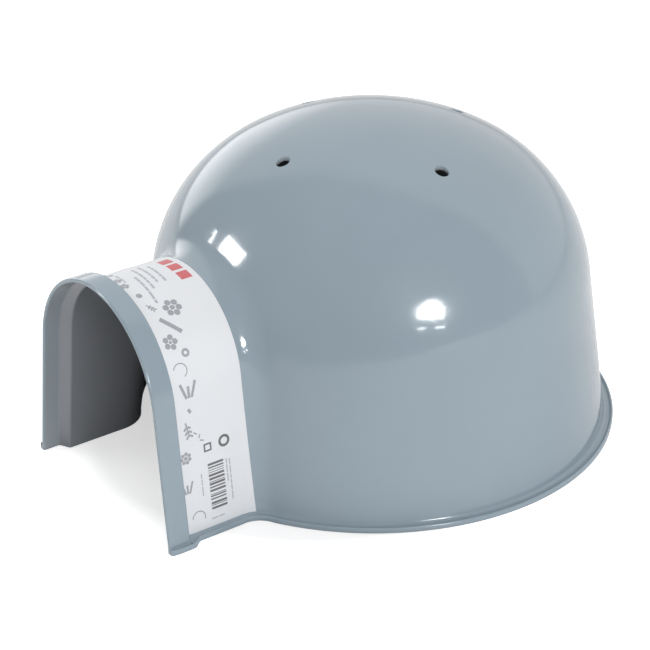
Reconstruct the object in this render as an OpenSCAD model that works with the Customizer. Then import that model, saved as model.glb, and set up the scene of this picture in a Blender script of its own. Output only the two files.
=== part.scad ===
// Small-animal hideaway: a one-piece moulded dome with an arched entrance tunnel,
// and a printed label that wraps over the tunnel. Millimetres. The ground is z = 0,
// the doorway faces -Y, and the origin is the middle of the footprint.

/* [Dome] */
// Outside radius of the dome at the ground
dome_r = 129; // [120:1:140]
// Height of the dome
dome_h = 170; // [160:1:180]
// Lean of the dome's lower wall, in degrees
dome_draft = 8; // [5:0.5:10]
// Radius of the rounded shoulder between wall and crown
shoulder_r = 89; // [80:1:95]
// Radius of the flatter crown
crown_r = 150; // [130:5:180]
// Thickness of the moulded wall
wall = 2.3; // [1.8:0.1:3]

/* [Tunnel] */
// Outside width of the tunnel at the ground
tunnel_w = 114.6; // [106:0.2:120]
// Outside height of the tunnel
tunnel_h = 118.8; // [114:0.2:121]
// Lean of the tunnel's side walls, in degrees
tunnel_draft = 7.25; // [5:0.25:9]
// Distance from the dome's axis to the tunnel's mouth
tunnel_reach = 172; // [165:1:180]
// Radius of the blend between tunnel and dome
blend_r = 17; // [14:1:20]

/* [Collar] */
// Length of the wider collar at the mouth
collar_len = 12.4; // [10:0.2:20]
// How far the collar stands out from the tunnel at the ground
collar_step = 6; // [4:0.5:8]
// How much higher the collar is than the tunnel
collar_rise = 3.8; // [3:0.2:6]
// Length of the sloping step inside the collar
ramp_len = 3.4; // [2:0.2:8]

/* [Base flange] */
// Width of the flange round the dome
flange_w = 5; // [4:0.5:7]
// Width of the flange beside the tunnel
side_flange_w = 4.4; // [3.5:0.1:6]
// Width of the flange beside the collar
collar_flange_w = 2.2; // [1.6:0.1:3]
// Thickness of the flange
flange_t = 2; // [1.6:0.1:3]
// Height of the lip round the flange's edge
lip_h = 3; // [2.4:0.2:4]
// Thickness of the lip
lip_t = 1.3; // [1:0.1:1.5]

/* [Ventilation] */
// Diameter of each ventilation hole
vent_d = 7; // [5:0.5:10]
// Distance of the ventilation holes from the dome's axis
vent_ring_r = 57; // [50:1:62]
// Number of ventilation holes, the first one over the tunnel
vent_count = 4; // [2:1:6]

/* [Wrap label] */
// Width of the label along the tunnel
label_w = 40; // [30:1:40]
// Thickness of the label with its glue
label_t = 0.3; // [0.2:0.05:0.5]
// Height of the label's two ends above the ground
label_foot = 2.5; // [2.5:0.5:10]

/* [Hidden] */

// small steps that keep surfaces from coinciding
tuck = 0.3;
label_gap = 0.05;

// footprint: the flange's rear edge and the collar's mouth are equally far from the origin
flange_r = dome_r + flange_w;
dome_y = (tunnel_reach - flange_r) / 2;
flange_front = tunnel_reach - 1;

// collar, seen from the front
collar_w = tunnel_w + 2 * collar_step;
collar_h = tunnel_h + collar_rise;
collar_back = tunnel_reach - collar_len;

// dome profile: leaning wall, shoulder arc, crown arc, each tangent to the next
wall_dir = [cos(dome_draft), sin(dome_draft)];
up_dir = [-sin(dome_draft), cos(dome_draft)];
crown_c = [0, dome_h - crown_r];
shoulder_base = (wall_dir[0] * dome_r - shoulder_r) * wall_dir;
to_base = shoulder_base - crown_c;
climb = -to_base * up_dir
      + sqrt(pow(to_base * up_dir, 2) - to_base * to_base + pow(crown_r - shoulder_r, 2));
shoulder_c = shoulder_base + climb * up_dir;
join_angle = atan2(shoulder_c[1] - crown_c[1], shoulder_c[0] - crown_c[0]);

// radius of the dome's skin moved out by o, at height z
function skin_r(z, o) =
    z < shoulder_c[1] + (shoulder_r + o) * sin(dome_draft)
        ? (wall_dir[0] * dome_r + o - wall_dir[1] * z) / wall_dir[0]
    : z < crown_c[1] + (crown_r + o) * sin(join_angle)
        ? shoulder_c[0] + sqrt(pow(shoulder_r + o, 2) - pow(z - shoulder_c[1], 2))
    : sqrt(max(0, pow(crown_r + o, 2) - pow(z - crown_c[1], 2)));

// outward direction [radial, up] of the dome's skin moved out by o, at height z
function skin_dir(z, o) =
    z < shoulder_c[1] + (shoulder_r + o) * sin(dome_draft)
        ? wall_dir
    : z < crown_c[1] + (crown_r + o) * sin(join_angle)
        ? ([skin_r(z, o), z] - shoulder_c) / (shoulder_r + o)
    : ([skin_r(z, o), z] - crown_c) / (crown_r + o);

// half profile of the dome's skin moved out by o, starting at height z0
function dome_profile(o, z0) = concat(
    [[0, z0], [skin_r(z0, o), z0]],
    [for (i = [0:24]) let (a = dome_draft + (join_angle - dome_draft) * i / 24)
        shoulder_c + (shoulder_r + o) * [cos(a), sin(a)]],
    [for (i = [1:9]) let (a = join_angle + (90 - join_angle) * i / 9)
        crown_c + (crown_r + o) * [i < 9 ? cos(a) : 0, sin(a)]]);

// the arches' legs lean in by the draft, and arc_steps straight lines make up their arc
arc_steps = 36;
function arc_angle(i) = tunnel_draft + (180 - 2 * tunnel_draft) * i / arc_steps;

// radius of the arch that is w wide at the ground and h high
function arch_r(w, h) =
    (cos(tunnel_draft) * w / 2 - sin(tunnel_draft) * h) / (1 - sin(tunnel_draft));

// outline of that arch moved out by o, starting at height z0
function arch_outline(w, h, o, z0) =
    let (r = arch_r(w, h), foot = w / 2 + o / cos(tunnel_draft) - z0 * tan(tunnel_draft))
    concat(
        [[foot, z0]],
        [for (i = [0:arc_steps]) let (a = arc_angle(i))
            [0, h - r] + (r + o) * [cos(a), sin(a)]],
        [[-foot, z0]]);

// the tunnel's arch as stations [x, z, x direction, z direction], from foot to foot,
// with both feet at height z0
leg_steps = 6;
tunnel_r = arch_r(tunnel_w, tunnel_h);
leg_top = tunnel_h - tunnel_r + tunnel_r * sin(tunnel_draft);
function leg_station(side, z) =
    [side * (tunnel_w / 2 - z * tan(tunnel_draft)), z, side * cos(tunnel_draft), sin(tunnel_draft)];
function stations(z0) = concat(
    [for (i = [0:leg_steps - 1]) leg_station(1, z0 + (leg_top - z0) * i / leg_steps)],
    [for (i = [0:arc_steps]) let (a = arc_angle(i))
        [tunnel_r * cos(a), tunnel_h - tunnel_r + tunnel_r * sin(a), cos(a), sin(a)]],
    [for (i = [leg_steps - 1:-1:0]) leg_station(-1, z0 + (leg_top - z0) * i / leg_steps)]);

// centre of a ball of radius blend_r that touches both the tunnel and the dome
function ball_centre(s) =
    let (x = s[0] + blend_r * s[2], z = s[1] + blend_r * s[3])
        [x, -sqrt(pow(skin_r(z, blend_r), 2) - x * x), z];

// directions from that ball's centre to the tunnel and to the dome
function to_tunnel(s) = [-s[2], 0, -s[3]];
function to_dome(s) =
    let (c = ball_centre(s), d = skin_dir(c[2], blend_r), r = norm([c[0], c[1]]))
        [-d[0] * c[0] / r, -d[0] * c[1] / r, -d[1]];

// point of the tunnel's skin, or of the blend beyond it, moved out by o, at distance y
function skin_point(s, o, y) =
    let (c = ball_centre(s), a = to_tunnel(s), b = to_dome(s), turn = acos(a * b), r = blend_r - o)
    y <= c[1] ? [s[0] + o * s[2], y, s[1] + o * s[3]]
    : let (w = asin((y - c[1]) * sin(turn) / (r * b[1])))
        c + r * (sin(turn - w) * a + sin(w) * b) / sin(turn);

// one closed section of the blend: the ball's arc, with its ends tucked into the two skins
blend_steps = 7;
arc_share = 0.06;
core_depth = 14;
function blend_section(s, o) =
    let (
        c = ball_centre(s),
        r = blend_r - o,
        a = to_tunnel(s),
        b = to_dome(s),
        turn = acos(a * b),
        off_tunnel = (a * cos(turn) - b) / sin(turn),
        off_dome = (b * cos(turn) - a) / sin(turn),
        middle = (a + b) / norm(a + b))
    concat(
        [c + (r + tuck) * a + 5 * tuck * off_tunnel],
        [for (i = [0:blend_steps])
            let (t = arc_share + (1 - 2 * arc_share) * i / blend_steps)
                c + r * (sin((1 - t) * turn) * a + sin(t * turn) * b) / sin(turn)],
        [c + (r + tuck) * b + 5 * tuck * off_dome],
        [c + (r + core_depth) * middle]);

// body of the dome's skin moved out by o
module dome_body(o, z0) {
    rotate_extrude($fn = 144) polygon(dome_profile(o, z0));
}

// body of an arch between two distances in front of the dome's axis
module arch_body(w, h, o, z0, near, far) {
    translate([0, -near, 0])
        rotate([90, 0, 0])
            linear_extrude(height = far - near) polygon(arch_outline(w, h, o, z0));
}

// closed body through a row of sections that have equal numbers of points;
// end_faces are the polygons that close the last section, each a list of its points
module section_body(sections, end_faces) {
    n = len(sections[0]);
    last = len(sections) - 1;
    points = [for (section = sections) each section];
    sides = [for (k = [0:last - 1]) for (i = [0:n - 1])
        let (j = (i + 1) % n)
            each [[k * n + i, k * n + j, (k + 1) * n + i],
                  [k * n + j, (k + 1) * n + j, (k + 1) * n + i]]];
    foot_end = [for (face = end_faces) [for (i = [len(face) - 1:-1:0]) face[i]]];
    far_end = [for (face = end_faces) [for (i = face) last * n + i]];
    polyhedron(points = points, faces = concat(foot_end, sides, far_end), convexity = 6);
}

// body that fills the corner between tunnel and dome up to the rolling ball
module blend_body(o) {
    sections = [for (s = stations(-8)) blend_section(s, o)];
    section_body(sections, [[for (i = [0:len(sections[0]) - 1]) i]]);
}

// everything above the ground
module above_ground() {
    translate([-200, -200, 0]) cube([400, 400, 200]);
}

// the hideaway as a solid block
module outer_body() {
    dome_body(0, 0);
    arch_body(tunnel_w, tunnel_h, 0, 0, 60, collar_back + 1);
    arch_body(collar_w, collar_h, 0, 0, collar_back, tunnel_reach);
    intersection() {
        blend_body(0);
        above_ground();
    }
}

// body between the tunnel's arch at distance near and the collar's arch at distance far,
// carried a little further inwards so that it starts inside the tunnel
module ramp_body(o, z0, near, far) {
    small = arch_outline(tunnel_w, tunnel_h, o, z0);
    large = arch_outline(collar_w, collar_h, o, z0);
    sections = [for (share = [1, -0.2])
        [for (i = [0:len(small) - 1])
            let (p = small[i] + (large[i] - small[i]) * share)
                [p[0], -near - (far - near) * share, p[1]]]];
    section_body(sections, [[for (i = [0:len(small) - 1]) i]]);
}

// the room inside: dome, tunnel, collar and the blends between them, open at the ground
module inner_body() {
    ramp_start = collar_back - 0.3;
    dome_body(-wall, -4);
    arch_body(tunnel_w, tunnel_h, -wall, -4, 60, tunnel_reach);
    arch_body(collar_w, collar_h, -wall, -4, ramp_start + ramp_len - 0.1, tunnel_reach + 4);
    ramp_body(-wall, -4, ramp_start, ramp_start + ramp_len);
    blend_body(-wall);
}

// outline of the base flange, drawn e inside its edge
module flange_plan(e) {
    side_x = tunnel_w / 2 + side_flange_w - e;
    collar_x = collar_w / 2 + collar_flange_w - e;
    corner_r = 4 - e;
    valley_r = blend_r - side_flange_w + e;
    valley_y = sqrt(pow(flange_r - e + valley_r, 2) - pow(side_x + valley_r, 2));
    circle(r = flange_r - e, $fn = 144);
    translate([-side_x, -collar_back])
        square([2 * side_x, collar_back]);
    // pad under the collar, with rounded front corners and a sloping step at its back
    polygon([[collar_x, -flange_front + e + corner_r], [collar_x, -collar_back + 1],
             [side_x, -collar_back + 7], [-side_x, -collar_back + 7],
             [-collar_x, -collar_back + 1], [-collar_x, -flange_front + e + corner_r]]);
    translate([-collar_x + corner_r, -flange_front + e])
        square([2 * (collar_x - corner_r), collar_len]);
    for (side = [-1, 1])
        translate([side * (collar_x - corner_r), -flange_front + e + corner_r])
            circle(r = corner_r, $fn = 32);
    // rounded valleys where the tunnel's flange meets the dome's
    for (side = [-1, 1])
        difference() {
            polygon([[side * (side_x - 1), -valley_y], [side * (side_x + valley_r), -valley_y],
                     [0, 0]]);
            translate([side * (side_x + valley_r), -valley_y]) circle(r = valley_r, $fn = 64);
        }
}

// flange with the lip along its edge
module flange() {
    linear_extrude(height = flange_t) flange_plan(0);
    linear_extrude(height = lip_h)
        difference() {
            flange_plan(0);
            flange_plan(lip_t);
        }
}

// round holes through the dome's shoulder
module vents() {
    for (i = [0:vent_count - 1])
        rotate([0, 0, -90 + 360 * i / vent_count])
            translate([vent_ring_r, 0, dome_h / 2])
                cylinder(h = dome_h, d = vent_d, $fn = 48);
}

module shell() {
    color([0.58, 0.64, 0.68])
        translate([0, dome_y, 0])
            difference() {
                union() {
                    outer_body();
                    flange();
                }
                inner_body();
                vents();
            }
}

// label strip: at each station it runs along the tunnel's skin and back, label_t further out
label_cols = 8;
module wrap_label() {
    label_back = 1.9 - collar_back;
    rows = [for (i = [0:label_cols]) label_back + label_w * i / label_cols];
    sections = [for (s = stations(label_foot)) concat(
        [for (y = rows) skin_point(s, label_gap, y)],
        [for (i = [label_cols:-1:0]) skin_point(s, label_gap + label_t, rows[i])])];
    end_strip = [for (i = [0:label_cols - 1]) let (far = 2 * label_cols + 1 - i)
        each [[i, i + 1, far], [i + 1, far - 1, far]]];
    color([0.93, 0.93, 0.95])
        translate([0, dome_y, 0])
            section_body(sections, end_strip);
}

shell();
wrap_label();
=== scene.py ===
"""A moulded small-animal hideaway with a printed wrap label, and the studio that it stands in."""

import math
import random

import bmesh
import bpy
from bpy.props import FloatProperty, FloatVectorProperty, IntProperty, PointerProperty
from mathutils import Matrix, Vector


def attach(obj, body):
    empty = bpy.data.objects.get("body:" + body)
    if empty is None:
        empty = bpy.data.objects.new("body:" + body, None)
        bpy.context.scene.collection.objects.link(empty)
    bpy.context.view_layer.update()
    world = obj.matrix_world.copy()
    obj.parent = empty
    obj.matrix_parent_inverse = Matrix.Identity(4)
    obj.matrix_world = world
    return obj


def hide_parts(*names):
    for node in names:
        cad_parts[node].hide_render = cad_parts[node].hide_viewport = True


bl_info = {
    "name": "Small-animal hideaway",
    "version": (1, 0, 0),
    "blender": (4, 5, 0),
    "location": "3D View > Sidebar > Hideaway",
    "description": "Builds a moulded dome hideaway, its printed wrap label and a small studio",
    "category": "Add Mesh",
}

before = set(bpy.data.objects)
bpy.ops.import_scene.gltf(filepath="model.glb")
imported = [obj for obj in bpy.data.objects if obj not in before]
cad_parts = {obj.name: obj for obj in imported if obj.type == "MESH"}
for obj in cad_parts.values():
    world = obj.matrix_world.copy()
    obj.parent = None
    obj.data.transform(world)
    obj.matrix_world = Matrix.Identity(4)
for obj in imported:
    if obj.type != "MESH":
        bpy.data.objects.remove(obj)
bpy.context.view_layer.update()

MM = 0.001
LENGTH = {"unit": "LENGTH", "subtype": "DISTANCE"}
ANGLE = {"unit": "ROTATION", "subtype": "ANGLE"}
COLOUR = {"subtype": "COLOR", "size": 3, "min": 0.0, "max": 1.0}


# ---------------------------------------------------------------- settings


class ShellSizes(bpy.types.PropertyGroup):
    """Sizes of the moulded shell"""

    dome_radius: FloatProperty(
        name="Dome radius", description="Outside radius at the ground", default=129 * MM, **LENGTH)
    dome_height: FloatProperty(
        name="Dome height", description="Height of the dome", default=170 * MM, **LENGTH)
    dome_draft: FloatProperty(
        name="Dome draft", description="Lean of the lower wall", default=math.radians(8), **ANGLE)
    shoulder_radius: FloatProperty(
        name="Shoulder radius", description="Radius between wall and crown",
        default=89 * MM, **LENGTH)
    crown_radius: FloatProperty(
        name="Crown radius", description="Radius of the flatter crown", default=150 * MM, **LENGTH)
    wall: FloatProperty(
        name="Wall", description="Thickness of the moulded wall", default=2.3 * MM, **LENGTH)
    tunnel_width: FloatProperty(
        name="Tunnel width", description="Outside width at the ground",
        default=114.6 * MM, **LENGTH)
    tunnel_height: FloatProperty(
        name="Tunnel height", description="Outside height of the tunnel",
        default=118.8 * MM, **LENGTH)
    tunnel_draft: FloatProperty(
        name="Tunnel draft", description="Lean of the tunnel's sides",
        default=math.radians(7.25), **ANGLE)
    tunnel_reach: FloatProperty(
        name="Tunnel reach", description="From the dome's axis to the tunnel's mouth",
        default=172 * MM, **LENGTH)
    blend_radius: FloatProperty(
        name="Blend radius", description="Rolling-ball radius between tunnel and dome",
        default=17 * MM, **LENGTH)
    collar_length: FloatProperty(
        name="Collar length", description="Length of the wider collar at the mouth",
        default=12.4 * MM, **LENGTH)
    collar_step: FloatProperty(
        name="Collar step", description="How far the collar stands out at the ground",
        default=6 * MM, **LENGTH)
    collar_rise: FloatProperty(
        name="Collar rise", description="How much higher the collar is than the tunnel",
        default=3.8 * MM, **LENGTH)
    ramp_length: FloatProperty(
        name="Ramp length", description="Length of the sloping step inside the collar",
        default=3.4 * MM, **LENGTH)
    flange_width: FloatProperty(
        name="Flange width", description="Width of the base flange round the dome",
        default=5 * MM, **LENGTH)
    side_flange_width: FloatProperty(
        name="Side flange width", description="Width of the flange beside the tunnel",
        default=4.4 * MM, **LENGTH)
    collar_flange_width: FloatProperty(
        name="Collar flange width", description="Width of the flange beside the collar",
        default=2.2 * MM, **LENGTH)
    flange_thickness: FloatProperty(
        name="Flange thickness", description="Thickness of the base flange",
        default=2 * MM, **LENGTH)
    lip_height: FloatProperty(
        name="Lip height", description="Height of the lip along the flange's edge",
        default=3 * MM, **LENGTH)
    vent_diameter: FloatProperty(
        name="Vent diameter", description="Diameter of each ventilation hole",
        default=7 * MM, **LENGTH)
    vent_ring_radius: FloatProperty(
        name="Vent ring radius", description="From the dome's axis to each ventilation hole",
        default=57 * MM, **LENGTH)
    vent_count: IntProperty(
        name="Vents", description="Number of ventilation holes", default=4, min=2, max=6)


class LabelSizes(bpy.types.PropertyGroup):
    """Sizes of the wrap label"""

    width: FloatProperty(
        name="Width", description="Width of the label along the tunnel",
        default=40 * MM, **LENGTH)
    foot: FloatProperty(
        name="Foot", description="Height of the label's ends above the ground",
        default=2.5 * MM, **LENGTH)
    thickness: FloatProperty(
        name="Thickness", description="Thickness of the paper", default=0.16 * MM, **LENGTH)
    gap: FloatProperty(
        name="Glue", description="Thickness of the glue under the paper",
        default=0.06 * MM, **LENGTH)
    ink: FloatProperty(
        name="Ink", description="Height of the print on the paper", default=0.03 * MM, **LENGTH)


class Finishes(bpy.types.PropertyGroup):
    """Colours and gloss of the finishes, with the painted light and shade inside the shell"""

    plastic: FloatVectorProperty(
        name="Plastic", description="Colour of the moulded plastic",
        default=(0.268, 0.334, 0.384), **COLOUR)
    # painted light: the plastic's colour made lighter just inside the doorway, where more light
    # falls
    mouth_painted_light: FloatVectorProperty(
        name="Mouth plastic", description="Colour of the skin just inside the doorway",
        default=(0.335, 0.378, 0.410), **COLOUR)
    # painted shade: the plastic's colour made darker and greyer further inside the shell
    inner_painted_shade: FloatVectorProperty(
        name="Inner plastic", description="Colour of the skin further inside",
        default=(0.262, 0.276, 0.300), **COLOUR)
    plastic_roughness: FloatProperty(
        name="Plastic roughness", description="Roughness of the moulded surface",
        default=0.13, min=0.0, max=1.0, subtype="FACTOR")
    paper: FloatVectorProperty(
        name="Paper", description="Colour of the label's paper",
        default=(0.74, 0.755, 0.78), **COLOUR)


class StudioSettings(bpy.types.PropertyGroup):
    """Camera and lights"""

    azimuth: FloatProperty(
        name="Azimuth", description="Camera's angle round the hideaway from its doorway",
        default=math.radians(53.47), **ANGLE)
    elevation: FloatProperty(
        name="Elevation", description="Camera's angle above the ground",
        default=math.radians(27.85), **ANGLE)
    distance: FloatProperty(
        name="Distance", description="From the camera to the point that it looks at",
        default=1190.8 * MM, **LENGTH)
    target: FloatVectorProperty(
        name="Target", description="Point that the camera looks at",
        default=(-30.3 * MM, 10.8 * MM, 36.9 * MM), subtype="TRANSLATION", unit="LENGTH", size=3)
    lens: FloatProperty(
        name="Lens", description="Focal length on a 36 mm sensor", default=118.9, min=20, max=300)


# ---------------------------------------------------------------- shape of the skin


class Skin:
    """The moulded skin as a formula: dome, tunnel and a ball rolled along the corner between
    them. Every point can be asked for at a distance `out` from the outside surface."""

    # height at which the feet of the tunnel's and the collar's legs stand
    foot_z = 0.0

    def __init__(self, sizes):
        self.s = sizes
        lean = sizes.dome_draft
        self.across = Vector((math.cos(lean), math.sin(lean)))
        self.along = Vector((-math.sin(lean), math.cos(lean)))
        self.crown = Vector((0.0, sizes.dome_height - sizes.crown_radius))
        start = self.across * (self.across.x * sizes.dome_radius - sizes.shoulder_radius)
        gap = start - self.crown
        b = gap.dot(self.along)
        radii = sizes.crown_radius - sizes.shoulder_radius
        self.shoulder = start + self.along * (
            math.sqrt(b * b - gap.dot(gap) + radii * radii) - b)
        to_shoulder = self.shoulder - self.crown
        self.join = math.atan2(to_shoulder.y, to_shoulder.x)
        self.crown_length = sizes.crown_radius * (math.pi / 2 - self.join)
        self.shoulder_length = sizes.shoulder_radius * (self.join - lean)
        self.tilt = sizes.tunnel_draft
        self.arch = self.arch_radius(sizes.tunnel_width, sizes.tunnel_height)
        self.axis_y = (sizes.tunnel_reach - sizes.dome_radius - sizes.flange_width) / 2
        self.collar_back = sizes.collar_length - sizes.tunnel_reach

    # dome

    def profile_at(self, z, out):
        """Radius and outward direction of the dome's skin at height z."""
        s = self.s
        if z < self.shoulder.y + (s.shoulder_radius + out) * self.across.y:
            radius = (self.across.x * s.dome_radius + out - self.across.y * z) / self.across.x
            return radius, self.across
        if z < self.crown.y + (s.crown_radius + out) * math.sin(self.join):
            arc = s.shoulder_radius + out
            radius = self.shoulder.x + math.sqrt(arc * arc - (z - self.shoulder.y) ** 2)
            return radius, (Vector((radius, z)) - self.shoulder) / arc
        arc = s.crown_radius + out
        radius = math.sqrt(max(0.0, arc * arc - (z - self.crown.y) ** 2))
        return radius, (Vector((radius, z)) - self.crown) / arc

    def run_to(self, z):
        """Length of the outside profile from the dome's top down to height z."""
        s = self.s
        if z > self.crown.y + s.crown_radius * math.sin(self.join):
            return s.crown_radius * (math.pi / 2 - math.asin((z - self.crown.y) / s.crown_radius))
        tangent = self.shoulder.y + s.shoulder_radius * self.across.y
        if z > tangent:
            angle = math.asin((z - self.shoulder.y) / s.shoulder_radius)
            return self.crown_length + s.shoulder_radius * (self.join - angle)
        return self.crown_length + self.shoulder_length + (tangent - z) / self.along.y

    def on_dome(self, turn, run, out):
        """Point of the dome at angle `turn` from the doorway, `run` along the profile."""
        s = self.s
        if run < self.crown_length:
            angle = math.pi / 2 - run / s.crown_radius
            p = self.crown + Vector((math.cos(angle), math.sin(angle))) * (s.crown_radius + out)
        elif run < self.crown_length + self.shoulder_length:
            angle = self.join - (run - self.crown_length) / s.shoulder_radius
            p = self.shoulder + Vector((math.cos(angle), math.sin(angle))) * (
                s.shoulder_radius + out)
        else:
            down = run - self.crown_length - self.shoulder_length
            p = self.shoulder + self.across * (s.shoulder_radius + out) - self.along * down
        return Vector((p.x * math.sin(turn), p.x * -math.cos(turn), p.y))

    # tunnel

    def arch_radius(self, width, height):
        """Radius of the arch whose legs lean in by the draft."""
        lean = math.sin(self.tilt)
        return (math.cos(self.tilt) * width / 2 - lean * height) / (1 - lean)

    def arch_at(self, station, width, height):
        """Point and outward direction, both as (x, z), of an arch at a station.
        Stations 0..1 climb the right leg, 1..2 go over the arc, and 2..3 go down the left leg."""
        radius = self.arch_radius(width, height)
        if 1 <= station <= 2:
            angle = self.tilt + (math.pi - 2 * self.tilt) * (station - 1)
            n = Vector((math.cos(angle), math.sin(angle)))
            return Vector((0.0, height - radius)) + n * radius, n
        side = 1 if station < 1 else -1
        share = station if station < 1 else 3 - station
        top = height - radius + radius * math.sin(self.tilt)
        z = self.foot_z + (top - self.foot_z) * share
        n = Vector((side * math.cos(self.tilt), math.sin(self.tilt)))
        return Vector((side * (width / 2 - z * math.tan(self.tilt)), z)), n

    def tunnel_at(self, station):
        return self.arch_at(station, self.s.tunnel_width, self.s.tunnel_height)

    def collar_at(self, station):
        s = self.s
        return self.arch_at(
            station, s.tunnel_width + 2 * s.collar_step, s.tunnel_height + s.collar_rise)

    # blend

    def ball(self, p, n):
        """Centre of the ball that touches the tunnel at (p, n), and the way to each skin."""
        radius = self.s.blend_radius
        x = p.x + n.x * radius
        z = p.y + n.y * radius
        reach, d = self.profile_at(z, radius)
        centre = Vector((x, -math.sqrt(reach * reach - x * x), z))
        to_tunnel = Vector((-n.x, 0.0, -n.y))
        to_dome = Vector((-d.x * centre.x / reach, -d.x * centre.y / reach, -d.y))
        return centre, to_tunnel, to_dome

    def on_ball(self, ball, share, out):
        """Point of the blend, from the tunnel's side (0) to the dome's side (1)."""
        centre, a, b = ball
        turn = a.angle(b)
        way = (a * math.sin((1 - share) * turn) + b * math.sin(share * turn)) / math.sin(turn)
        return centre + way * (self.s.blend_radius - out)

    def on_tunnel(self, p, n, y, out):
        """Point of the tunnel's skin at distance y, which runs on over the blend."""
        ball = self.ball(p, n)
        centre, a, b = ball
        if y <= centre.y:
            return Vector((p.x + n.x * out, y, p.y + n.y * out))
        turn = a.angle(b)
        swing = math.asin(
            (y - centre.y) * math.sin(turn) / ((self.s.blend_radius - out) * b.y))
        return self.on_ball(ball, swing / turn, out)


# ---------------------------------------------------------------- mesh helpers


def patch(bm, columns, rows, place, depth=None):
    """Adds a grid of columns x rows faces, with each corner (i, j) put where place says.
    Where depth is given, it says how far inside the shell each corner is marked."""
    made = bmesh.ops.create_grid(bm, x_segments=columns, y_segments=rows, size=1.0)
    mark = bm.verts.layers.float.get(INNER_SKIN)
    for v in made["verts"]:
        i = round((v.co.x + 1) / 2 * columns)
        j = round((v.co.y + 1) / 2 * rows)
        v.co = place(i, j)
        if depth is not None:
            v[mark] = depth(i, j)


def finish_mesh(bm, name, material):
    """Turns a bmesh into a smooth object at the origin."""
    mesh = bpy.data.meshes.new(name)
    bm.to_mesh(mesh)
    bm.free()
    mesh.materials.append(material)
    for polygon in mesh.polygons:
        polygon.use_smooth = True
    obj = bpy.data.objects.new(name, mesh)
    bpy.context.scene.collection.objects.link(obj)
    return obj


def steps(start, end, count):
    """count + 1 evenly spaced values from start to end."""
    return [start + (end - start) * i / count for i in range(count + 1)]


def ease(x):
    """Smooth step from 0 to 1."""
    x = min(1.0, max(0.0, x))
    return x * x * (3 - 2 * x)


# ---------------------------------------------------------------- shell


# height of the flange's band, above which the walls are made; then steps of the grids
BAND = 4.2 * MM
LEG_STEPS = 18
ARC_STEPS = 48
BALL_STEPS = 10
ROUND_STEPS = 168
CAP_ROWS = 72
# rounding of the mouth's edge, and start of the ramp behind the collar's rear edge
EDGE = 1.0 * MM
RAMP_LAG = 0.3 * MM
# vents: sides, cleared margin, margins of the rings round the hole, rounding of the rims
VENT_SIDES = 48
VENT_CLEAR = 3.2 * MM
VENT_RINGS = (1.4 * MM, 0.8 * MM, 0.0)
VENT_ROUND = 0.45 * MM
# vertex mark that says how far inside the shell a point is; it picks the painted light just inside
# the mouth and the painted shade further in
INNER_SKIN = "inner_skin"


def stations():
    """Stations from the right foot over the arch to the left foot."""
    legs = steps(0, 1, LEG_STEPS)[:-1]
    return legs + steps(1, 2, ARC_STEPS) + [3 - share for share in reversed(legs)]


def collar_row(skin, out, y):
    """Row of the collar's skin at distance y, as a function of a station."""
    def place(station):
        p, n = skin.collar_at(station)
        return Vector((p.x + n.x * out, y, p.y + n.y * out))
    return place


def front_rows(skin, inside):
    """Rows of the skin from the mouth's edge to the dome, as functions of a station."""
    s = skin.s
    out = -s.wall if inside else 0.0
    mouth = -s.tunnel_reach + EDGE
    back = skin.collar_back
    ramp = back + RAMP_LAG

    def between(share, y):
        def place(station):
            p, n = skin.tunnel_at(station)
            q, _ = skin.collar_at(station)
            p = p + (q - p) * share
            return Vector((p.x + n.x * out, y, p.y + n.y * out))
        return place

    def tunnel(share, start):
        def place(station):
            p, n = skin.tunnel_at(station)
            centre, _, _ = skin.ball(p, n)
            return skin.on_tunnel(p, n, start + (centre.y - start) * share, out)
        return place

    def blend(share):
        def place(station):
            return skin.on_ball(skin.ball(*skin.tunnel_at(station)), share, out)
        return place

    if inside:
        ramp_front = ramp - s.ramp_length
        rows = [collar_row(skin, out, mouth + (ramp_front - mouth) * t)
                for t in (0, 0.06, 0.5, 0.85, 0.95)]
        rows += [between(1 - ease(t) * 0.3 - t * 0.7, ramp_front + s.ramp_length * t)
                 for t in (0.04, 0.2, 0.4, 0.6, 0.8, 0.96)]
        start = ramp + 0.4 * MM
    else:
        rows = [collar_row(skin, out, mouth + (back - 1.2 * MM - mouth) * t)
                for t in (0, 0.03, 0.4, 0.75, 0.97)]
        rows += [between(share, back - lead * MM) for share, lead in (
            (1.0, 1.0), (0.985, 0.62), (0.93, 0.32), (0.5, 0.1), (0.07, -0.1), (0.015, -0.35))]
        start = back + 0.7 * MM
    near = (0, 0.02, 0.05, 0.08, 0.11, 0.14, 0.17, 0.2)
    rows += [tunnel(share, start) for share in near]
    rows += [tunnel(share, start) for share in steps(0.26, 1.0, 9)]
    rows += [blend(share) for share in steps(0, 1, BALL_STEPS)[1:]]
    return rows


def rim_rows(skin):
    """Rows round the mouth's edge, from the outside skin to the inside."""
    mouth = -skin.s.tunnel_reach
    corner = [(EDGE * (1 - math.cos(a)), EDGE * (1 - math.sin(a)))
              for a in steps(0, math.pi / 2, 6)]
    path = [(-inset, mouth + lead) for inset, lead in corner]
    path += [(-skin.s.wall + inset, mouth + lead) for inset, lead in reversed(corner)]
    return [collar_row(skin, out, y) for out, y in path]


def cap_columns(skin):
    """Hem of the dome's upper part as (turn, run) pairs: round the back, then over the tunnel."""
    left = skin.on_ball(skin.ball(*skin.tunnel_at(2)), 1, 0.0)
    edge = math.atan2(-left.x, -left.y)
    run = skin.run_to(left.z)
    hem = [(turn, run) for turn in steps(edge, 2 * math.pi - edge, ROUND_STEPS)]
    for station in steps(2, 1, ARC_STEPS)[1:]:
        p = skin.on_ball(skin.ball(*skin.tunnel_at(station)), 1, 0.0)
        hem.append((2 * math.pi + math.atan2(p.x, -p.y), skin.run_to(p.z)))
    return hem


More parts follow.
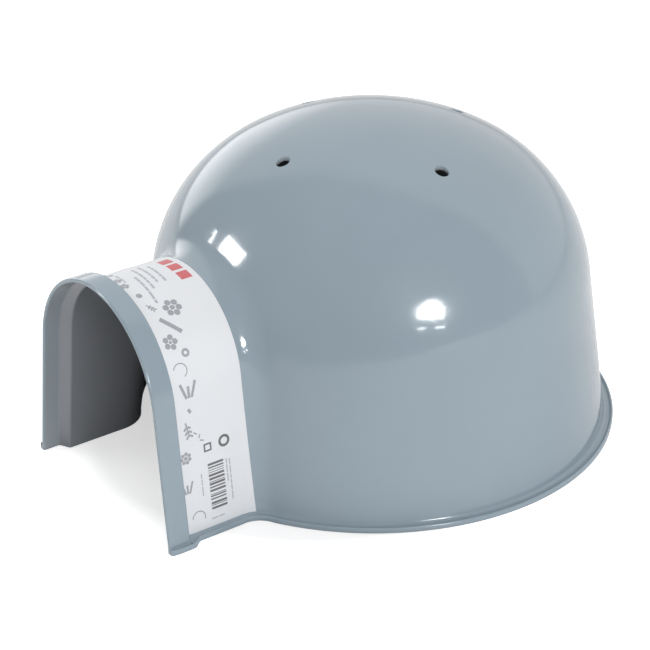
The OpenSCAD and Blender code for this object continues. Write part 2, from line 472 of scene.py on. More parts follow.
def vent_centres(sizes):
    """Centres of the ventilation holes, in plan from the dome's axis."""
    turns = [2 * math.pi * i / sizes.vent_count for i in range(sizes.vent_count)]
    return [Vector((math.sin(turn), -math.cos(turn))) * sizes.vent_ring_radius for turn in turns]


def add_dome_cap(bm, skin, out):
    """Upper part of the dome, from its hem to the top, with the vents cut out."""
    hem = cap_columns(skin)
    part = bmesh.new()

    def place(i, j):
        turn, run = hem[i]
        return skin.on_dome(turn, run * (CAP_ROWS - j) / CAP_ROWS, out)

    patch(part, len(hem) - 1, CAP_ROWS, place)
    bmesh.ops.remove_doubles(part, verts=part.verts, dist=1e-6)
    radius = skin.s.vent_diameter / 2
    for centre in vent_centres(skin.s):
        cut = [f for f in part.faces
               if (f.calc_center_median().xy - centre).length < radius + VENT_CLEAR]
        bmesh.ops.delete(part, geom=cut, context="FACES")
        ragged = [e for e in part.edges
                  if e.is_boundary and (e.verts[0].co.xy - centre).length < 4 * radius]
        circle = bmesh.ops.create_circle(
            part, segments=VENT_SIDES, radius=radius + VENT_RINGS[0])["verts"]
        for v in circle:
            v.co.xy = v.co.xy + centre
            v.co.z = skin_height(skin, v.co.xy, out)
        rim = list({e for v in circle for e in v.link_edges})
        bmesh.ops.bridge_loops(part, edges=ragged + rim)
        for margin in VENT_RINGS[1:]:
            made = bmesh.ops.extrude_edge_only(part, edges=rim)["geom"]
            circle = [g for g in made if isinstance(g, bmesh.types.BMVert)]
            rim = [g for g in made if isinstance(g, bmesh.types.BMEdge) and g.is_boundary]
            for v in circle:
                way = (v.co.xy - centre).normalized()
                v.co.xy = centre + way * (radius + margin)
                v.co.z = skin_height(skin, v.co.xy, out)
    bmesh.ops.recalc_face_normals(part, faces=part.faces)
    mesh = bpy.data.meshes.new("cap")
    part.to_mesh(mesh)
    part.free()
    bm.from_mesh(mesh)
    bpy.data.meshes.remove(mesh)


def open_vent(bm, skin, centre):
    """Joins a vent's two rings with a wall and softens both rims."""
    s = skin.s

    def near(v):
        return (v.co.xy - centre).length < s.vent_diameter and v.co.z > s.dome_height * 0.8

    rims = [e for e in bm.edges if e.is_boundary and near(e.verts[0])]
    outer = [e for e in rims
             if e.verts[0].co.z > skin_height(skin, e.verts[0].co.xy, -s.wall / 2)]
    inner = {v for e in rims for v in e.verts} - {v for e in outer for v in e.verts}
    made = bmesh.ops.extrude_edge_only(bm, edges=outer)["geom"]
    low = [g for g in made if isinstance(g, bmesh.types.BMVert)]
    # the vent's wall gets the inner skin's mark, and with it the painted shade
    mark = bm.verts.layers.float[INNER_SKIN]
    for v in low:
        v.co.z = skin_height(skin, v.co.xy, -s.wall)
        v[mark] = 1.0
    bmesh.ops.remove_doubles(bm, verts=low + list(inner), dist=2e-6)
    rims = [e for e in bm.edges if near(e.verts[0]) and near(e.verts[1])
            and e.calc_face_angle(0.0) > 0.8]
    bmesh.ops.bevel(bm, geom=rims, offset=VENT_ROUND, offset_type="OFFSET", segments=3,
                    profile=0.5, affect="EDGES", material=-1)


def skin_height(skin, xy, out):
    """Height of the dome's skin over a point near its top."""
    s = skin.s
    if xy.length < (s.crown_radius + out) * math.cos(skin.join):
        arc = s.crown_radius + out
        return skin.crown.y + math.sqrt(arc * arc - xy.length_squared)
    arc = s.shoulder_radius + out
    return skin.shoulder.y + math.sqrt(arc * arc - (xy.length - skin.shoulder.x) ** 2)


def add_dome_wall(bm, skin, out):
    """Lower wall of the dome, round the back from foot to foot of the tunnel."""
    share = steps(0, 1, LEG_STEPS)

    def place(i, j):
        p = skin.on_ball(skin.ball(*skin.tunnel_at(share[j])), 1, out)
        edge = math.atan2(p.x, -p.y)
        turn = edge + (2 * math.pi - 2 * edge) * i / ROUND_STEPS
        radius = p.xy.length
        return Vector((radius * math.sin(turn), -radius * math.cos(turn), p.z))

    patch(bm, ROUND_STEPS, LEG_STEPS, place)


def inner_depth(skin, y):
    """Mark of the inner skin: 0.5 inside the collar, and 1 from the ramp on. It sets the painted
    light and shade.
    """
    ramp_front = skin.collar_back + RAMP_LAG - skin.s.ramp_length
    return 0.5 + 0.5 * ease((y - ramp_front + 0.6 * MM) / (1.2 * MM))


def add_front(bm, skin, rows, depth=None):
    """Tunnel, collar or rim: the given rows over all stations."""
    along = stations()
    patch(bm, len(along) - 1, len(rows) - 1, lambda i, j: rows[j](along[i]), depth)


def flange_sections(skin, outer, inner):
    """Sections of the base flange, from the right foot round the dome to the left foot.
    Each has the outside wall's foot, the flange's edge, and the inside wall's foot."""
    s = skin.s
    rim = rim_rows(skin)
    half = len(rim) // 2
    pairs = [(rim[k], rim[-1 - k]) for k in range(half - 1, 0, -1)]
    side = []
    for place, place_in in pairs + list(zip(outer, inner)):
        foot = place(0.0)
        side.append((foot, flange_edge(skin, foot), place_in(0.0)))

    def round_back(start, share):
        """Point on the circle that starts at a foot, and its way out from the dome's axis."""
        edge = math.atan2(start.x, -start.y)
        turn = edge + (2 * math.pi - 2 * edge) * share
        way = Vector((math.sin(turn), -math.cos(turn), 0))
        return way * start.xy.length + Vector((0, 0, start.z)), way

    back = []
    for i in range(1, ROUND_STEPS):
        foot, way = round_back(side[-1][0], i / ROUND_STEPS)
        foot_in, _ = round_back(side[-1][2], i / ROUND_STEPS)
        back.append((foot, way * (s.dome_radius + s.flange_width), foot_in))
    flip = Matrix.Diagonal((-1, 1, 1))
    other = [tuple(flip @ p for p in section) for section in reversed(side)]
    return side + back + other


def flange_edge(skin, foot):
    """Edge of the flange, in plan, beside a foot of the right-hand wall."""
    s = skin.s
    wall_x = s.tunnel_width / 2 + s.side_flange_width
    collar_x = s.tunnel_width / 2 + s.collar_step + s.collar_flange_width
    base = skin.foot_z
    skin.foot_z = 0.0
    ball = skin.ball(*skin.tunnel_at(0.0))
    skin.foot_z = base
    centre = ball[0]
    if foot.y > centre.y:
        flat = Vector((foot.x, foot.y, 0.0)) - Vector((centre.x, centre.y, 0.0))
        end = skin.on_ball(ball, 1, 0.0)
        share = min(1.0, (foot.y - centre.y) / (end.y - centre.y))
        width = s.side_flange_width + (s.flange_width - s.side_flange_width) * share
        return Vector((centre.x, centre.y, 0)) + flat.normalized() * (s.blend_radius - width)
    widening = 6 * MM
    step = ease((skin.collar_back + 1 * MM + widening - foot.y) / widening)
    x = wall_x + (collar_x - wall_x) * step
    corner = 4 * MM
    left_over = 0.3 * MM
    ahead = max(0.0, -foot.y - (s.tunnel_reach - corner)) / corner
    x -= (s.collar_flange_width - left_over) * (1 - math.sqrt(max(0.0, 1 - ahead * ahead)))
    return Vector((x, foot.y, 0.0))


def add_flange(bm, skin, outer, inner):
    """Base flange with its lip, joined to the outside and inside walls."""
    s = skin.s
    sections = flange_sections(skin, outer, inner)
    t = s.flange_thickness
    lip = s.lip_height
    # share of the way out and height of each corner between the outside and inside walls
    outline = [(0.02, 3.5 * MM), (0.05, 2.95 * MM), (0.10, 2.5 * MM), (0.18, 2.18 * MM),
               (0.28, 2.03 * MM), (0.40, t), (0.60, t), (0.68, 2.08 * MM), (0.73, 2.3 * MM),
               (0.76, 2.65 * MM), (0.81, 2.92 * MM), (0.87, lip), (0.93, 2.93 * MM),
               (0.98, 2.68 * MM), (1.0, 2.3 * MM), (1.0, 1.0 * MM), (1.0, 0.4 * MM),
               (0.98, 0.15 * MM), (0.94, 0.02 * MM), (0.88, 0.0), (0.3, 0.0)]
    rounding = [(0.1 * MM, 0.0), (0.5 * MM, 0.02 * MM), (0.2 * MM, 0.2 * MM),
                (0.03 * MM, 0.6 * MM), (0.0, 1.6 * MM)]
    last = len(outline) + len(rounding) + 1

    def place(i, j):
        foot, edge, foot_in = sections[i]
        if j == 0:
            return foot
        if j == last:
            return foot_in
        if j <= len(outline):
            share, z = outline[j - 1]
            way = edge.xy - foot.xy
            p = foot.xy + way * share
            return Vector((p.x, p.y, z))
        inset, z = rounding[j - 1 - len(outline)]
        way = foot.xy - foot_in.xy
        p = foot_in.xy + way * min(1.0, inset / s.wall)
        return Vector((p.x, p.y, z))

    def depth(i, j):
        return inner_depth(skin, sections[i][2].y) if j > len(outline) + 1 else 0.0

    patch(bm, len(sections) - 1, last, place, depth)


def build_shell(sizes):
    """The whole moulded shell as one closed bmesh, with its inner skin marked for painted light
    and shade.
    """
    skin = Skin(sizes)
    skin.foot_z = BAND
    outer = front_rows(skin, inside=False)
    inner = front_rows(skin, inside=True)
    bm = bmesh.new()
    mark = bm.verts.layers.float.new(INNER_SKIN)
    add_dome_cap(bm, skin, -sizes.wall)
    add_dome_wall(bm, skin, -sizes.wall)
    add_front(bm, skin, inner)
    # the inner skin is marked for its painted light and shade
    for v in bm.verts:
        v[mark] = inner_depth(skin, v.co.y)
    add_dome_cap(bm, skin, 0.0)
    add_dome_wall(bm, skin, 0.0)
    add_front(bm, skin, outer)
    rim = rim_rows(skin)
    # the rim's inner edge gets the mouth's painted light
    add_front(bm, skin, rim, lambda i, j: 0.5 if j == len(rim) - 1 else 0.0)
    add_flange(bm, skin, outer, inner)
    bmesh.ops.remove_doubles(bm, verts=bm.verts, dist=2e-6)
    feet = [e for e in bm.edges if e.is_boundary and e.verts[0].co.z < sizes.dome_height / 2]
    bmesh.ops.holes_fill(bm, edges=feet, sides=200)
    bmesh.ops.recalc_face_normals(bm, faces=bm.faces)
    for centre in vent_centres(sizes):
        open_vent(bm, skin, centre)
    bmesh.ops.recalc_face_normals(bm, faces=bm.faces)
    bmesh.ops.translate(bm, verts=bm.verts, vec=(0, skin.axis_y, 0))
    return bm


# ---------------------------------------------------------------- label


# from the collar's rear edge to the label's front edge
LABEL_LAG = 1.9 * MM


class Wrap:
    """Flat label coordinates laid over the tunnel: x runs down the right side from the ridge,
    y runs from the label's front edge towards the dome, and z stands off the skin."""

    def __init__(self, sizes, label):
        self.skin = Skin(sizes)
        self.label = label
        self.front = self.skin.collar_back + LABEL_LAG
        skin = self.skin
        self.quarter = skin.arch * (math.pi / 2 - skin.tilt)
        self.leg_top = sizes.tunnel_height - skin.arch * (1 - math.sin(skin.tilt))
        self.reach = self.quarter + (self.leg_top - label.foot) / math.cos(skin.tilt)

    def section(self, run):
        """Point and outward direction of the tunnel's section at a distance from the ridge."""
        skin = self.skin
        side = 1 if run >= 0 else -1
        down = abs(run) - self.quarter
        angle = skin.tilt if down > 0 else math.pi / 2 - abs(run) / skin.arch
        n = Vector((side * math.cos(angle), math.sin(angle)))
        p = Vector((0.0, skin.s.tunnel_height - skin.arch)) + n * skin.arch
        if down > 0:
            p += Vector((side * math.sin(angle), -math.cos(angle))) * down
        return p, n

    def lay(self, bm, lift):
        """Lays a flat bmesh on the tunnel."""
        for v in bm.verts:
            p, n = self.section(v.co.x)
            v.co = self.skin.on_tunnel(p, n, self.front + v.co.y, lift + v.co.z)
        bmesh.ops.translate(bm, verts=bm.verts, vec=(0, self.skin.axis_y, 0))


def thicken(bm, height):
    """Gives every flat face of a bmesh a thickness upwards."""
    made = bmesh.ops.extrude_face_region(bm, geom=bm.faces[:], use_keep_orig=True)["geom"]
    top = [g for g in made if isinstance(g, bmesh.types.BMVert)]
    bmesh.ops.translate(bm, verts=top, vec=(0, 0, height))
    bmesh.ops.recalc_face_normals(bm, faces=bm.faces)


def build_label(sizes, label):
    """The paper strip, as a closed thin sheet."""
    wrap = Wrap(sizes, label)
    bm = bmesh.new()
    made = bmesh.ops.create_grid(bm, x_segments=220, y_segments=22, size=0.5)
    bmesh.ops.scale(bm, verts=made["verts"], vec=(2 * wrap.reach, label.width, 1))
    bmesh.ops.translate(bm, verts=made["verts"], vec=(0, label.width / 2, 0))
    thicken(bm, label.thickness)
    wrap.lay(bm, label.gap)
    return bm


# ---------------------------------------------------------------- print


# longest piece of a printed patch, so that it bends with the paper
STEP = 1.0 * MM
PRINT_SEED = 7


def place_flat(bm, verts, at, turn):
    """Turns new flat vertices and moves them to (run, along) in millimetres."""
    bmesh.ops.rotate(bm, verts=verts, cent=(0, 0, 0), matrix=Matrix.Rotation(turn, 3, "Z"))
    bmesh.ops.translate(bm, verts=verts, vec=(at[0] * MM, at[1] * MM, 0))


def bar(bm, at, length, width, turn=0.0):
    """A plain printed bar."""
    size = (length * MM, width * MM)
    made = bmesh.ops.create_grid(
        bm, x_segments=max(1, math.ceil(size[0] / STEP)),
        y_segments=max(1, math.ceil(size[1] / STEP)), size=0.5)
    bmesh.ops.scale(bm, verts=made["verts"], vec=(size[0], size[1], 1))
    place_flat(bm, made["verts"], at, turn)


def ring(bm, at, inner, outer, start=0.0, sweep=2 * math.pi, steps_round=28):
    """A printed ring, disc (inner 0) or part of a ring."""
    count = max(1, math.ceil((outer - inner) * MM / STEP))
    line = [bm.verts.new((r * MM, 0, 0)) for r in steps(inner, outer, count)]
    edges = [bm.edges.new(pair) for pair in zip(line, line[1:])]
    bmesh.ops.rotate(bm, verts=line, cent=(0, 0, 0), matrix=Matrix.Rotation(start, 3, "Z"))
    full = abs(sweep - 2 * math.pi) < 1e-6
    bmesh.ops.spin(
        bm, geom=line + edges, cent=(0, 0, 0), axis=(0, 0, 1), angle=sweep,
        steps=steps_round, use_merge=full)
    faces = {f for v in line for f in v.link_faces}
    while True:
        grown = {f for face in faces for v in face.verts for f in v.link_faces}
        if grown == faces:
            break
        faces = grown
    verts = list({v for f in faces for v in f.verts})
    place_flat(bm, verts, at, 0.0)
    if inner == 0:
        bmesh.ops.remove_doubles(bm, verts=verts, dist=1e-6)


def flower(bm, at, size, petals):
    """A plain flower head: round petals about a small disc."""
    turn = 0.3
    reach = size * 0.31
    petal = reach * math.sin(math.pi / petals) * 0.98
    ring(bm, at, 0, reach - petal - size * 0.03, steps_round=12)
    for i in range(petals):
        angle = turn + 2 * math.pi * i / petals
        ring(bm, (at[0] + reach * math.cos(angle), at[1] + reach * math.sin(angle)),
             0, petal, steps_round=14)


def tuft(bm, at, size, up):
    """Three blades of grass; up is 1 where the ridge lies towards smaller runs."""
    for place in (-1, 0, 1):
        lean = place * 0.34
        reach = size * (0.36 if place == 0 else 0.5)
        middle = (at[0] - up * math.cos(lean) * reach,
                  at[1] + math.sin(lean) * reach + place * size * 0.17)
        bar(bm, middle, reach * 2, size * 0.17, -up * lean)


def sprig(bm, at, size, turn):
    """A stem with leaves in pairs."""
    bar(bm, at, size, size * 0.12, turn)
    for share in (-0.25, 0.05, 0.35):
        for side in (-1, 1):
            angle = turn + side * 0.8
            reach = size * 0.22
            bar(bm, (at[0] + size * share * math.cos(turn) + reach * math.cos(angle),
                     at[1] + size * share * math.sin(turn) + reach * math.sin(angle)),
                size * 0.24, size * 0.14, angle)


def words(bm, rng, at, length, height, turn=0.0):
    """A row of short bars, like words too small to read."""
    run = 0.0
    while run < length - 1.5:
        word = min(rng.uniform(2.2, 5.6), length - run)
        middle = run + word / 2 - length / 2
        bar(bm, (at[0] + middle * math.cos(turn), at[1] + middle * math.sin(turn)),
            word, height, turn)
        run += word + 0.55


def print_icons(bm, side):
    """Garden icons down the label's front edge, on the right (1) or left (-1) side."""
    def at(run, along):
        return side * run, along

    flower(bm, at(3.5, 2.4), 5.0, 5)
    ring(bm, at(13.5, 4.4), 0, 1.6)
    sprig(bm, at(22.5, 5.4), 5.0, 0.6 * side)
    flower(bm, at(26.0, 16.0), 11.0, 6)
    bar(bm, at(34.7, 10.4), 12.4, 2.2, 0.72 * side)
    flower(bm, at(42.7, 6.3), 8.4, 5)
    ring(bm, at(49.6, 12.2), 0.9, 2.2)
    ring(bm, at(57.3, 6.8), 3.4, 4.0, 0.5, 3.9)
    tuft(bm, at(72.0, 9.2), 8.6, side)
    bar(bm, at(78.8, 8.5), 2.6, 1.6, 0.5)
    sprig(bm, at(88.3, 6.3), 8.0, 0.2)
    bar(bm, at(91.5, 10.4), 2.4, 0.7, 0.9 * side)
    bar(bm, at(93.6, 12.6), 2.2, 0.7, -0.4 * side)
    bar(bm, at(96.2, 13.8), 2.4, 0.7, 1.2 * side)
    flower(bm, at(102.9, 3.6), 7.6, 7)
    tuft(bm, at(122.0, 2.8), 6.5, side)
    ring(bm, at(137.0, 7.6), 3.4, 4.0, 1.2, 3.4)


def print_notes(bm, rng):
    """Rows of unreadable small print."""
    for i, (start, length) in enumerate(((-10, 19), (-13, 23), (-12, 24), (-2, 24))):
        words(bm, rng, (start + length / 2, 23.4 - 4.2 * i), length, 1.3, -0.06)
    words(bm, rng, (-5.0, 5.2), 11, 1.1, -0.06)
    for along, start, length in ((11.4, 114, 13), (26.6, 110.5, 13), (28.4, 111, 24)):
        words(bm, rng, (start + length / 2, along), length, 0.7)
    words(bm, rng, (140.0, 19.0), 8.0, 0.7, 0.5 * math.pi)


def print_marks(bm, rng):
    """Plain ring, outlined square and a block of stripes."""
    ring(bm, (100.5, 26.4), 1.9, 3.3)
    for turn in (0.0, 0.5 * math.pi):
        for side in (-1, 1):
            bar(bm, (101.0 + side * 1.8 * math.sin(turn), 16.6 + side * 1.8 * math.cos(turn)),
                4.4 if turn == 0.0 else 2.8, 0.9, turn)
    run = 110.0
    while run < 135.0:
        stripe = rng.choice((0.4, 0.4, 0.8, 1.2))
        bar(bm, (run + stripe / 2, 20.2), stripe, 9.2)
        run += stripe + rng.choice((0.4, 0.8, 0.8, 1.2))


def print_squares(bm):
    """A row of three squares over the ridge."""
    for i in (-1, 0, 1):
        bar(bm, (i * 8.6, 33.6), 6.4, 6.4)


def build_print(sizes, label, draw):
    """One colour of print, as thin closed patches on the paper."""
    wrap = Wrap(sizes, label)
    bm = bmesh.new()
    draw(bm)
    for normal, edge in (((0, -1, 0), 0.15 * MM), ((0, 1, 0), label.width - 0.15 * MM)):
        geom = bm.verts[:] + bm.edges[:] + bm.faces[:]
        bmesh.ops.bisect_plane(
            bm, geom=geom, plane_co=(0, edge, 0), plane_no=normal, clear_outer=True)
    thicken(bm, label.ink)
    wrap.lay(bm, label.gap + label.thickness + 0.01 * MM)
    return bm


# ---------------------------------------------------------------- materials


def new_material(name):
    """A node material with its shader and an Object-coordinate source."""
    material = bpy.data.materials.new(name)
    material.use_nodes = True
    nodes = material.node_tree.nodes
    shader = nodes["Principled BSDF"]
    coordinates = nodes.new("ShaderNodeTexCoord")
    return material, shader, coordinates.outputs["Object"]


def dot(owner, source, direction):
    """How far a vector reaches along a direction, in a material or a world."""
    node = owner.node_tree.nodes.new("ShaderNodeVectorMath")
    node.operation = "DOT_PRODUCT"
    node.inputs[1].default_value = direction
    owner.node_tree.links.new(source, node.inputs[0])
    return node.outputs["Value"]


def combine(owner, operation, first, second):
    """Two values put together, in a material or a world."""
    node = owner.node_tree.nodes.new("ShaderNodeMath")
    node.operation = operation
    owner.node_tree.links.new(first, node.inputs[0])
    owner.node_tree.links.new(second, node.inputs[1])
    return node.outputs["Value"]


def noise(material, source, scale, detail=2.0, roughness=0.5):
    """Noise at a scale in features per metre."""
    node = material.node_tree.nodes.new("ShaderNodeTexNoise")
    node.inputs["Scale"].default_value = scale
    node.inputs["Detail"].default_value = detail
    node.inputs["Roughness"].default_value = roughness
    material.node_tree.links.new(source, node.inputs["Vector"])
    return node.outputs["Fac"]


def remap(material, value, low, high, start=0.3, end=0.7):
    """A noise value stretched to a range."""
    node = material.node_tree.nodes.new("ShaderNodeMapRange")
    node.inputs["From Min"].default_value = start
    node.inputs["From Max"].default_value = end
    node.inputs["To Min"].default_value = low
    node.inputs["To Max"].default_value = high
    material.node_tree.links.new(value, node.inputs["Value"])
    return node.outputs["Result"]


def two_tones(material, value, first, second):
    """A colour between two tones, each a colour or another node's output."""
    node = material.node_tree.nodes.new("ShaderNodeMix")
    node.data_type = "RGBA"
    for socket, tone in (("A", first), ("B", second)):
        if isinstance(tone, bpy.types.NodeSocket):
            material.node_tree.links.new(tone, node.inputs[socket])
        else:
            node.inputs[socket].default_value = (*tone, 1.0)
    material.node_tree.links.new(value, node.inputs["Factor"])
    return node.outputs["Result"]


def relief(material, value, distance, under=None):
    """Bump of a value over a distance in metres."""
    node = material.node_tree.nodes.new("ShaderNodeBump")
    node.inputs["Strength"].default_value = 1.0
    node.inputs["Distance"].default_value = distance
    links = material.node_tree.links
    links.new(value, node.inputs["Height"])
    if under is not None:
        links.new(under, node.inputs["Normal"])
    return node.outputs["Normal"]


def shade(colour, factor):
    """A colour made lighter or darker."""
    return tuple(min(1.0, c * factor) for c in colour)


def moulded_plastic(finishes):
    """Glossy injection-moulded plastic with faint flow marks, painted light that makes the skin
    just inside the mouth lighter, and painted shade that makes the inner skin further in darker
    and greyer.
    The mark is 0 outside, 0.5 just inside the mouth and 1 further in."""
    material, shader, place = new_material("glossy_moulded_plastic")
    links = material.node_tree.links
    flow = remap(material, noise(material, place, 14.0, 3.0, 0.55), 0.0, 1.0)
    depth = material.node_tree.nodes.new("ShaderNodeAttribute")
    depth.attribute_name = INNER_SKIN
    tones = []
    for colour in (finishes.plastic, finishes.mouth_painted_light, finishes.inner_painted_shade):
        tones.append(two_tones(material, flow, shade(colour, 0.975), shade(colour, 1.025)))
    # painted light lightens the skin just inside the mouth, and painted shade darkens and greys it
    # further in
    mouth = remap(material, depth.outputs["Fac"], 0.0, 1.0, 0.0, 0.5)
    inside = remap(material, depth.outputs["Fac"], 0.0, 1.0, 0.5, 1.0)
    tone = two_tones(material, inside, two_tones(material, mouth, *tones[:2]), tones[2])
    links.new(tone, shader.inputs["Base Color"])
    haze = noise(material, place, 55.0, 4.0, 0.6)
    rough = finishes.plastic_roughness
    links.new(remap(material, haze, rough * 0.8, rough * 1.25), shader.inputs["Roughness"])
    grain = noise(material, place, 1600.0, 2.0)
    waves = noise(material, place, 60.0, 1.0)
    under = relief(material, waves, 0.00008)
    links.new(relief(material, grain, 0.000006, under=under), shader.inputs["Normal"])
    shader.inputs["IOR"].default_value = 1.49
    shader.inputs["Coat Weight"].default_value = 0.45
    shader.inputs["Coat Roughness"].default_value = 0.04
    return material


def label_paper(finishes):
    """Coated label paper with a faint fibre mottle."""
    material, shader, place = new_material("coated_label_paper")
    links = material.node_tree.links
    fibre = noise(material, place, 900.0, 4.0, 0.65)
    links.new(two_tones(material, remap(material, fibre, 0.0, 1.0), shade(finishes.paper, 0.985),
                        shade(finishes.paper, 1.01)), shader.inputs["Base Color"])
    links.new(remap(material, fibre, 0.34, 0.46), shader.inputs["Roughness"])
    links.new(relief(material, fibre, 0.00001), shader.inputs["Normal"])
    return material


def ink(name, colour):
    """Printing ink with a slightly uneven cover."""
    material, shader, place = new_material(name)
    links = material.node_tree.links
    cover = noise(material, place, 700.0, 3.0, 0.6)
    links.new(two_tones(material, remap(material, cover, 0.0, 1.0), shade(colour, 0.94),
                        shade(colour, 1.08)), shader.inputs["Base Color"])
    links.new(remap(material, cover, 0.38, 0.5), shader.inputs["Roughness"])
    return material


# ---------------------------------------------------------------- operators


def keep(obj, slot_name, *nodes):
    """Hands a finished piece to the frame."""
    if nodes:
        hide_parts(*nodes)
    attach(obj, "root")


class HIDEAWAY_OT_shell(bpy.types.Operator):
    """Make the moulded shell: dome, tunnel, collar, base flange and vents"""

    bl_idname = "hideaway.shell"
    bl_label = "Moulded shell"

    def execute(self, context):
        scene = context.scene
        bm = build_shell(scene.hideaway_shell)
        loose = [e for e in bm.edges if not e.is_manifold or not e.is_contiguous]
        if loose:
            raise RuntimeError(f"the shell has {len(loose)} open or twisted edges")
        obj = finish_mesh(bm, "moulded_shell", moulded_plastic(scene.hideaway_finishes))
        keep(obj, "shell_plastic", "shell")
        return {"FINISHED"}


class HIDEAWAY_OT_label(bpy.types.Operator):
    """Make the paper label that wraps over the tunnel"""

    bl_idname = "hideaway.label"
    bl_label = "Wrap label"

    def execute(self, context):
        scene = context.scene
        bm = build_label(scene.hideaway_shell, scene.hideaway_label)
        obj = finish_mesh(bm, "label_sheet", label_paper(scene.hideaway_finishes))
        obj.data.set_sharp_from_angle(angle=math.radians(40))
        keep(obj, "label_paper", "wrap_label")
        return {"FINISHED"}


class HIDEAWAY_OT_print(bpy.types.Operator):
    """Make the print on the label"""

    bl_idname = "hideaway.print"
    bl_label = "Label print"

    def execute(self, context):
        scene = context.scene
        rng = random.Random(PRINT_SEED)

        def grey(bm):
            print_icons(bm, 1)
            print_icons(bm, -1)

        jobs = (
            ("print_pale", lambda bm: print_notes(bm, rng), (0.44, 0.45, 0.49)),
            ("print_grey", grey, (0.34, 0.35, 0.38)),
            ("print_dark", lambda bm: print_marks(bm, rng), (0.15, 0.15, 0.16)),
            ("print_red", print_squares, (0.60, 0.14, 0.15)),
        )
        for name, draw, colour in jobs:
            bm = build_print(scene.hideaway_shell, scene.hideaway_label, draw)
            obj = finish_mesh(bm, name, ink(name + "_ink", colour))
            obj.data.set_sharp_from_angle(angle=math.radians(40))
            keep(obj, "label_paper")
        return {"FINISHED"}


# half of the hideaway's footprint, which bounds the floor's painted shadow, and directions in the
# room
FOOTPRINT = (134 * MM, 153 * MM)
FLOOR_FRONT = (0.26, -0.965, 0.0)
ROOM_FRONT = (0.508, -0.859, -0.062)
ROOM_LEFT = (-0.99, 0.1, -0.1)


def direction(azimuth, elevation):
    """Unit vector towards an azimuth, counted from the doorway, and an elevation."""
    flat = math.cos(elevation)
    return Vector((math.sin(azimuth) * flat, -math.cos(azimuth) * flat, math.sin(elevation)))


def softbox(name, aim, azimuth, elevation, distance, size, power, roll=0.0, shape="RECTANGLE",
            glossy=True):
    """An area light seen from `aim` at an azimuth and elevation, facing it and rolled.
    A glossy one only makes highlights, and the others only give soft light."""
    data = bpy.data.lights.new(name, "AREA")
    data.shape = shape
    data.size, data.size_y = size
    data.energy = power
    light = bpy.data.objects.new(name, data)
    bpy.context.scene.collection.objects.link(light)
    way = direction(math.radians(azimuth), math.radians(elevation))
    light.location = Vector(aim) + way * distance
    turn = Matrix.Rotation(math.radians(roll), 3, "Z")
    light.rotation_euler = (way.to_track_quat("Z", "Y").to_matrix() @ turn).to_euler()
    light.visible_camera = False
    light.visible_glossy = glossy
    light.visible_diffuse = not glossy


def studio_floor():
    """Pale floor with a painted light falloff, dark from some way in front of the doorway, and a
    painted shadow that makes it darker under the hideaway.
    The camera sees it lifted towards white."""
    material, shader, place = new_material("pale_floor")
    nodes, links = material.node_tree.nodes, material.node_tree.links
    outline = nodes.new("ShaderNodeMapping")
    outline.inputs["Scale"].default_value = (1 / FOOTPRINT[0], 1 / FOOTPRINT[1], 1.0)
    links.new(place, outline.inputs["Vector"])
    beside = nodes.new("ShaderNodeVectorMath")
    beside.operation = "LENGTH"
    links.new(outline.outputs["Vector"], beside.inputs[0])
    # painted shade: a light falloff painted on the floor from some way in front of the doorway,
    # times a painted shadow under the hideaway
    room = combine(
        material, "MULTIPLY",
        remap(material, dot(material, place, FLOOR_FRONT), 0.92, 0.3, 0.41, 0.48),
        remap(material, beside.outputs["Value"], 0.5, 1.0, 0.9, 1.0))
    links.new(two_tones(material, room, (0, 0, 0), (1, 1, 1)), shader.inputs["Base Color"])
    seen = nodes.new("ShaderNodeLightPath")
    links.new(remap(material, seen.outputs["Is Camera Ray"], 0.0, 0.6, 0.0, 1.0),
              shader.inputs["Emission Strength"])
    shader.inputs["Emission Color"].default_value = (1, 1, 1, 1)
    shader.inputs["Roughness"].default_value = 0.9
    shader.inputs["Specular IOR Level"].default_value = 0.2
    return material


def studio_world():
    """Room that the plastic reflects: bright behind the hideaway, brightest on its left, and dim
    in front. The camera sees it white."""
    world = bpy.data.worlds.new("studio_white")
    world.use_nodes = True
    nodes, links = world.node_tree.nodes, world.node_tree.links
    place = nodes.new("ShaderNodeTexCoord").outputs["Generated"]
    room = remap(world, dot(world, place, ROOM_FRONT), 0.0, 0.33, -0.43, -0.30)
    room.node.interpolation_type = "SMOOTHSTEP"
    behind = remap(world, dot(world, place, ROOM_LEFT), 0.85, 2.2, 0.86, 0.99)
    links.new(behind, room.node.inputs["To Min"])
    seen = nodes.new("ShaderNodeLightPath")
    strength = combine(world, "MAXIMUM", room, seen.outputs["Is Camera Ray"])
    links.new(strength, nodes["Background"].inputs["Strength"])
    nodes["Background"].inputs["Color"].default_value = (1, 1, 1, 1)
    return world


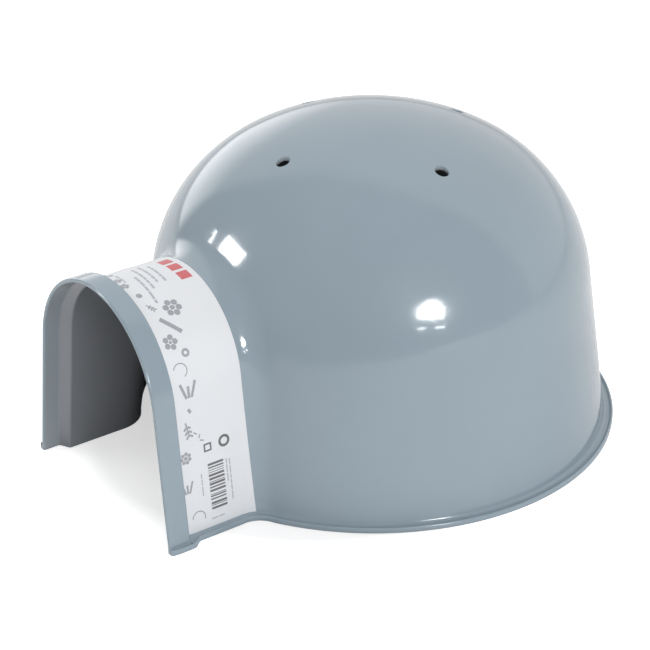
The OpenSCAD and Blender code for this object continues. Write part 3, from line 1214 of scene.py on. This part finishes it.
class HIDEAWAY_OT_studio(bpy.types.Operator):
    """Make the floor, the lights and the camera"""

    bl_idname = "hideaway.studio"
    bl_label = "Studio"

    def execute(self, context):
        scene = context.scene
        studio = scene.hideaway_studio
        bm = bmesh.new()
        bmesh.ops.create_grid(bm, x_segments=1, y_segments=1, size=8.0)
        bmesh.ops.translate(bm, verts=bm.verts, vec=(0, 0, -0.0001))
        finish_mesh(bm, "studio_floor", studio_floor())

        left = (0.015, -0.081, 0.126)
        right = (0.104, -0.023, 0.108)
        middle = (0.0, 0.0, 0.1)
        softbox("key_by_the_doorway", left, -39.3, 25.6, 1.5, (0.43, 0.28), 9.0, roll=9)
        softbox("edge_by_the_doorway", left, -56.3, 20.6, 1.5, (0.03, 0.15), 0.45, roll=25)
        softbox("key_on_the_right", right, 83.8, 18.9, 1.5, (0.38, 0.20), 5.5, roll=-13)
        softbox("key_top_on_the_right", right, 84.8, 21.2, 1.5, (0.32, 0.33), 5.5, shape="ELLIPSE")
        softbox("edge_on_the_right", right, 77.8, 9.9, 1.5, (0.12, 0.034), 0.32, roll=-5)
        softbox("edge_on_the_right", right, 87.3, 8.6, 1.5, (0.134, 0.034), 0.36, roll=-8)
        softbox("soft_fill", middle, 80, 32, 2.4, (1.8, 1.4), 36.0, glossy=False)
        softbox("soft_front", middle, -46, 30, 2.4, (1.4, 1.2), 21.0, glossy=False)
        softbox("soft_top", middle, -127, 80, 2.2, (2.2, 2.2), 6.0, glossy=False)
        scene.world = studio_world()
        scene.view_settings.view_transform = "Standard"

        camera = bpy.data.objects.new("camera", bpy.data.cameras.new("camera"))
        camera.data.lens = studio.lens
        camera.data.sensor_width = 36
        back = direction(studio.azimuth, studio.elevation)
        camera.location = Vector(studio.target) + back * studio.distance
        camera.rotation_euler = (math.pi / 2 - studio.elevation, 0, studio.azimuth)
        scene.collection.objects.link(camera)
        scene.camera = camera
        return {"FINISHED"}


class HIDEAWAY_PT_panel(bpy.types.Panel):
    """Buttons that make each part of the hideaway"""

    bl_label = "Hideaway"
    bl_idname = "HIDEAWAY_PT_panel"
    bl_space_type = "VIEW_3D"
    bl_region_type = "UI"
    bl_category = "Hideaway"

    def draw(self, context):
        for operator in OPERATORS:
            self.layout.operator(operator.bl_idname)


OPERATORS = (HIDEAWAY_OT_shell, HIDEAWAY_OT_label, HIDEAWAY_OT_print, HIDEAWAY_OT_studio)
GROUPS = {
    "hideaway_shell": ShellSizes,
    "hideaway_label": LabelSizes,
    "hideaway_finishes": Finishes,
    "hideaway_studio": StudioSettings,
}


def register():
    for cls in (*GROUPS.values(), *OPERATORS, HIDEAWAY_PT_panel):
        bpy.utils.register_class(cls)
    for name, cls in GROUPS.items():
        setattr(bpy.types.Scene, name, PointerProperty(type=cls))


def unregister():
    for name in GROUPS:
        delattr(bpy.types.Scene, name)
    for cls in (HIDEAWAY_PT_panel, *reversed(OPERATORS), *reversed(GROUPS.values())):
        bpy.utils.unregister_class(cls)


def main():
    register()
    bpy.ops.hideaway.shell()
    bpy.ops.hideaway.label()
    bpy.ops.hideaway.print()
    bpy.ops.hideaway.studio()


if __name__ == "__main__":
    main()
